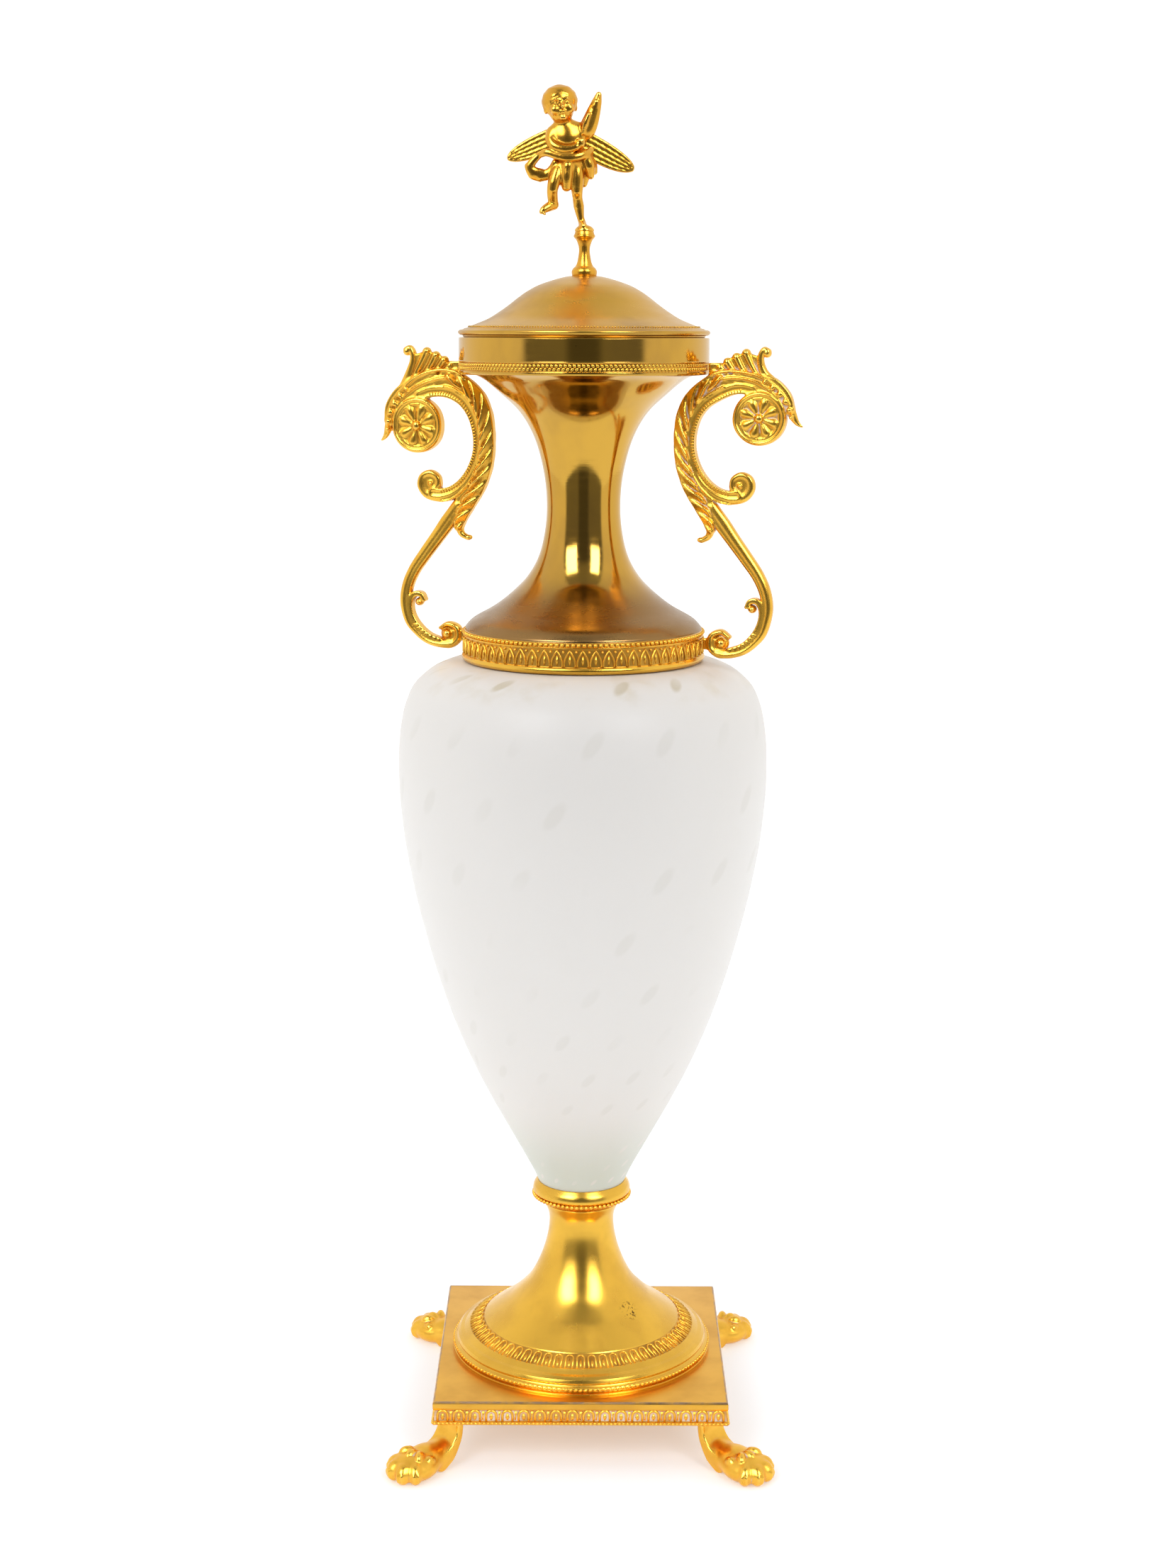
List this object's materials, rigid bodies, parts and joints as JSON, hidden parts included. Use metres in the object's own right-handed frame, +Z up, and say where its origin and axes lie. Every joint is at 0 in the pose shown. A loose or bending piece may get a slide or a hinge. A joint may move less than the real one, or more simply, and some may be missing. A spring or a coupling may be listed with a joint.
{
  "type": "mantel urn",
  "caption": "Tall mantel urn with an opaline glass body in gilt brass mounts, scroll handles, paw feet and a lift-off lid with a winged boy finial.",
  "frame": {"origin": "on the surface it stands on, under the urn's vertical axis", "axes": "+Z up the urn's axis, -Y towards the front, +X to the right as seen from the front"},
  "size_m": [0.1722, 0.1624, 0.5601],
  "materials": {
    "gilt_polished": "polished gilding, tarnished to a brownish tone in places",
    "gilt_satin": "satin brushed gilding with dark specks and rubbed edges",
    "gilt_cast": "matt stippled cast gilding, bright on the high parts and brown in the recesses",
    "opaline_glass": "satin white opaline, slightly green at the lower end, with faint rows of spots"
  },
  "bodies": {
    "root": {"plinth": "gilt_satin", "paw_front_right": "gilt_cast", "paw_back_right": "gilt_cast", "paw_back_left": "gilt_cast", "paw_front_left": "gilt_cast", "foot": "gilt_satin", "glass_cup": "gilt_satin", "glass_body": "opaline_glass", "shoulder_ring": "gilt_satin", "neck": "gilt_polished", "collar": "gilt_polished", "lid": "gilt_polished", "finial_spool": "gilt_satin", "cupid": "gilt_cast", "handle_right": "gilt_cast", "handle_left": "gilt_cast"}
  },
  "joints": []
}
